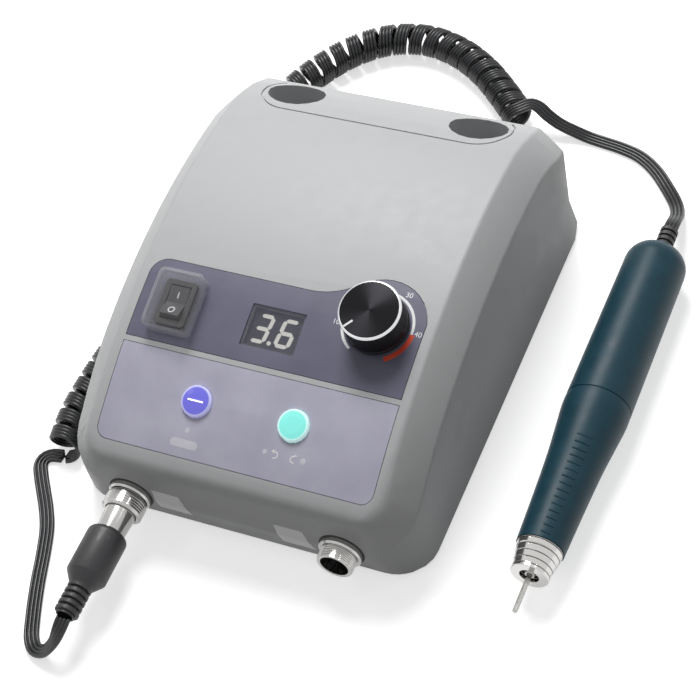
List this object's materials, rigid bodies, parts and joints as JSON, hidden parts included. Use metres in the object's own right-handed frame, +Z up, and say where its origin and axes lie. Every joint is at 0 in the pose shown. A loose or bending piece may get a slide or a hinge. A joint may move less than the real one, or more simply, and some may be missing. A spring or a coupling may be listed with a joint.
{
  "type": "dental micromotor",
  "caption": "Desktop dental micromotor: grey control box with rest cups, speed knob, display and screw-ring sockets, and a teal motor handpiece on a curly cord.",
  "frame": {"origin": "on the desk, under the middle of the box and the handpiece together, cord and plug left out", "axes": "+Z up; the front of the box, with its sockets, faces -Y; the handpiece lies on the +X side with its nose towards -Y"},
  "size_m": [0.2576, 0.3941, 0.0928],
  "materials": {
    "housing": "grey moulded plastic, satin",
    "base_plastic": "dark grey moulded plastic",
    "upper_film": "printed film under a clear coat",
    "lower_film": "printed film under a clear coat",
    "clear_plastic": "clear",
    "display_lens": "smoked lens",
    "black_plastic": "black",
    "knob": "black, turned look",
    "rubber": "black",
    "cord": "black, slightly glossy",
    "blue_key": "lit blue",
    "cyan_key": "lit cyan",
    "teal_plastic": "dark teal, satin",
    "chrome": "bright",
    "steel": "machined",
    "laminations": "stacked sheet",
    "winding": "enamelled copper wire",
    "carbon": "carbon",
    "brass": "machined",
    "board": "circuit board",
    "aluminium": "machined"
  },
  "bodies": {
    "console": {"top_shell": "housing", "base_plate": "base_plastic", "lower_panel": "lower_film", "upper_panel": "upper_film", "switch_body": "black_plastic", "switch_cover": "clear_plastic", "display_window": "display_lens", "display_module": "black_plastic", "potentiometer": "steel", "pot_nut": "steel", "on_off_contact": "black_plastic", "direction_contact": "black_plastic", "control_board": "board", "transformer_core": "laminations", "transformer_winding": "winding", "driver_board": "board", "heat_sink": "aluminium", "mains_inlet": "black_plastic", "motor_socket": "chrome", "motor_socket_nut": "steel", "motor_socket_insert": "black_plastic", "pedal_socket": "chrome", "pedal_socket_nut": "steel", "pedal_socket_insert": "black_plastic", "plug_barrel": "chrome", "plug_insert": "black_plastic", "plug_boot": "rubber", "handpiece_rear_case": "teal_plastic", "handpiece_tail_relief": "rubber", "motor_can": "steel", "brush_left": "carbon", "brush_right": "carbon", "spindle_housing": "aluminium", "front_bearing": "steel", "rear_bearing": "steel", "cord_front": "cord", "cord_coil": "cord", "cord_rear": "cord", "rubber_foot_1": "rubber", "base_screw_1": "steel", "rubber_foot_2": "rubber", "base_screw_2": "steel", "rubber_foot_3": "rubber", "base_screw_3": "steel", "rubber_foot_4": "rubber", "base_screw_4": "steel"},
    "power_rocker": {"power_rocker": "black_plastic"},
    "speed_dial": {"speed_knob": "knob", "pot_shaft": "steel"},
    "on_off_key": {"on_off_button": "blue_key"},
    "direction_key": {"direction_button": "cyan_key"},
    "screw_ring": {"plug_ring": "chrome"},
    "twist_grip": {"front_grip": "teal_plastic", "nose_cone": "chrome"},
    "rotor_line": {"motor_rotor": "winding", "spindle": "steel", "collet": "brass", "bur": "steel"}
  },
  "joints": [
    {"name": "power_rocker_tilt", "type": "hinge", "parent": "console", "child": "power_rocker", "pos_m": [-0.0765, -0.03724, 0.07306], "axis": [1, 0, 0], "range_deg": [0, 20]},
    {"name": "speed_dial_turn", "type": "hinge", "parent": "console", "child": "speed_dial", "pos_m": [0.0148, -0.02565, 0.07473], "axis": [0, 0.239, -0.971], "range_deg": [0, 300]},
    {"name": "on_off_press", "type": "slide", "parent": "console", "child": "on_off_key", "axis": [0, 0.4185, -0.9082], "range_m": [0, 0.0006], "stiffness_N_per_m": 500, "springref_m": -0.002},
    {"name": "direction_press", "type": "slide", "parent": "console", "child": "direction_key", "axis": [0, 0.4185, -0.9082], "range_m": [0, 0.0006], "stiffness_N_per_m": 500, "springref_m": -0.002},
    {"name": "screw_ring_turn", "type": "hinge", "parent": "console", "child": "screw_ring", "pos_m": [-0.0809, -0.11245, 0.019], "axis": [0, -1, 0], "range_deg": [0, 540]},
    {"name": "grip_twist", "type": "hinge", "parent": "console", "child": "twist_grip", "pos_m": [0.1, -0.0004, 0.015], "axis": [0, 1, 0], "range_deg": [0, 60]},
    {"name": "spindle_spin", "type": "hinge", "parent": "console", "child": "rotor_line", "pos_m": [0.1, -0.0004, 0.015], "axis": [0, 1, 0], "continuous": true}
  ]
}
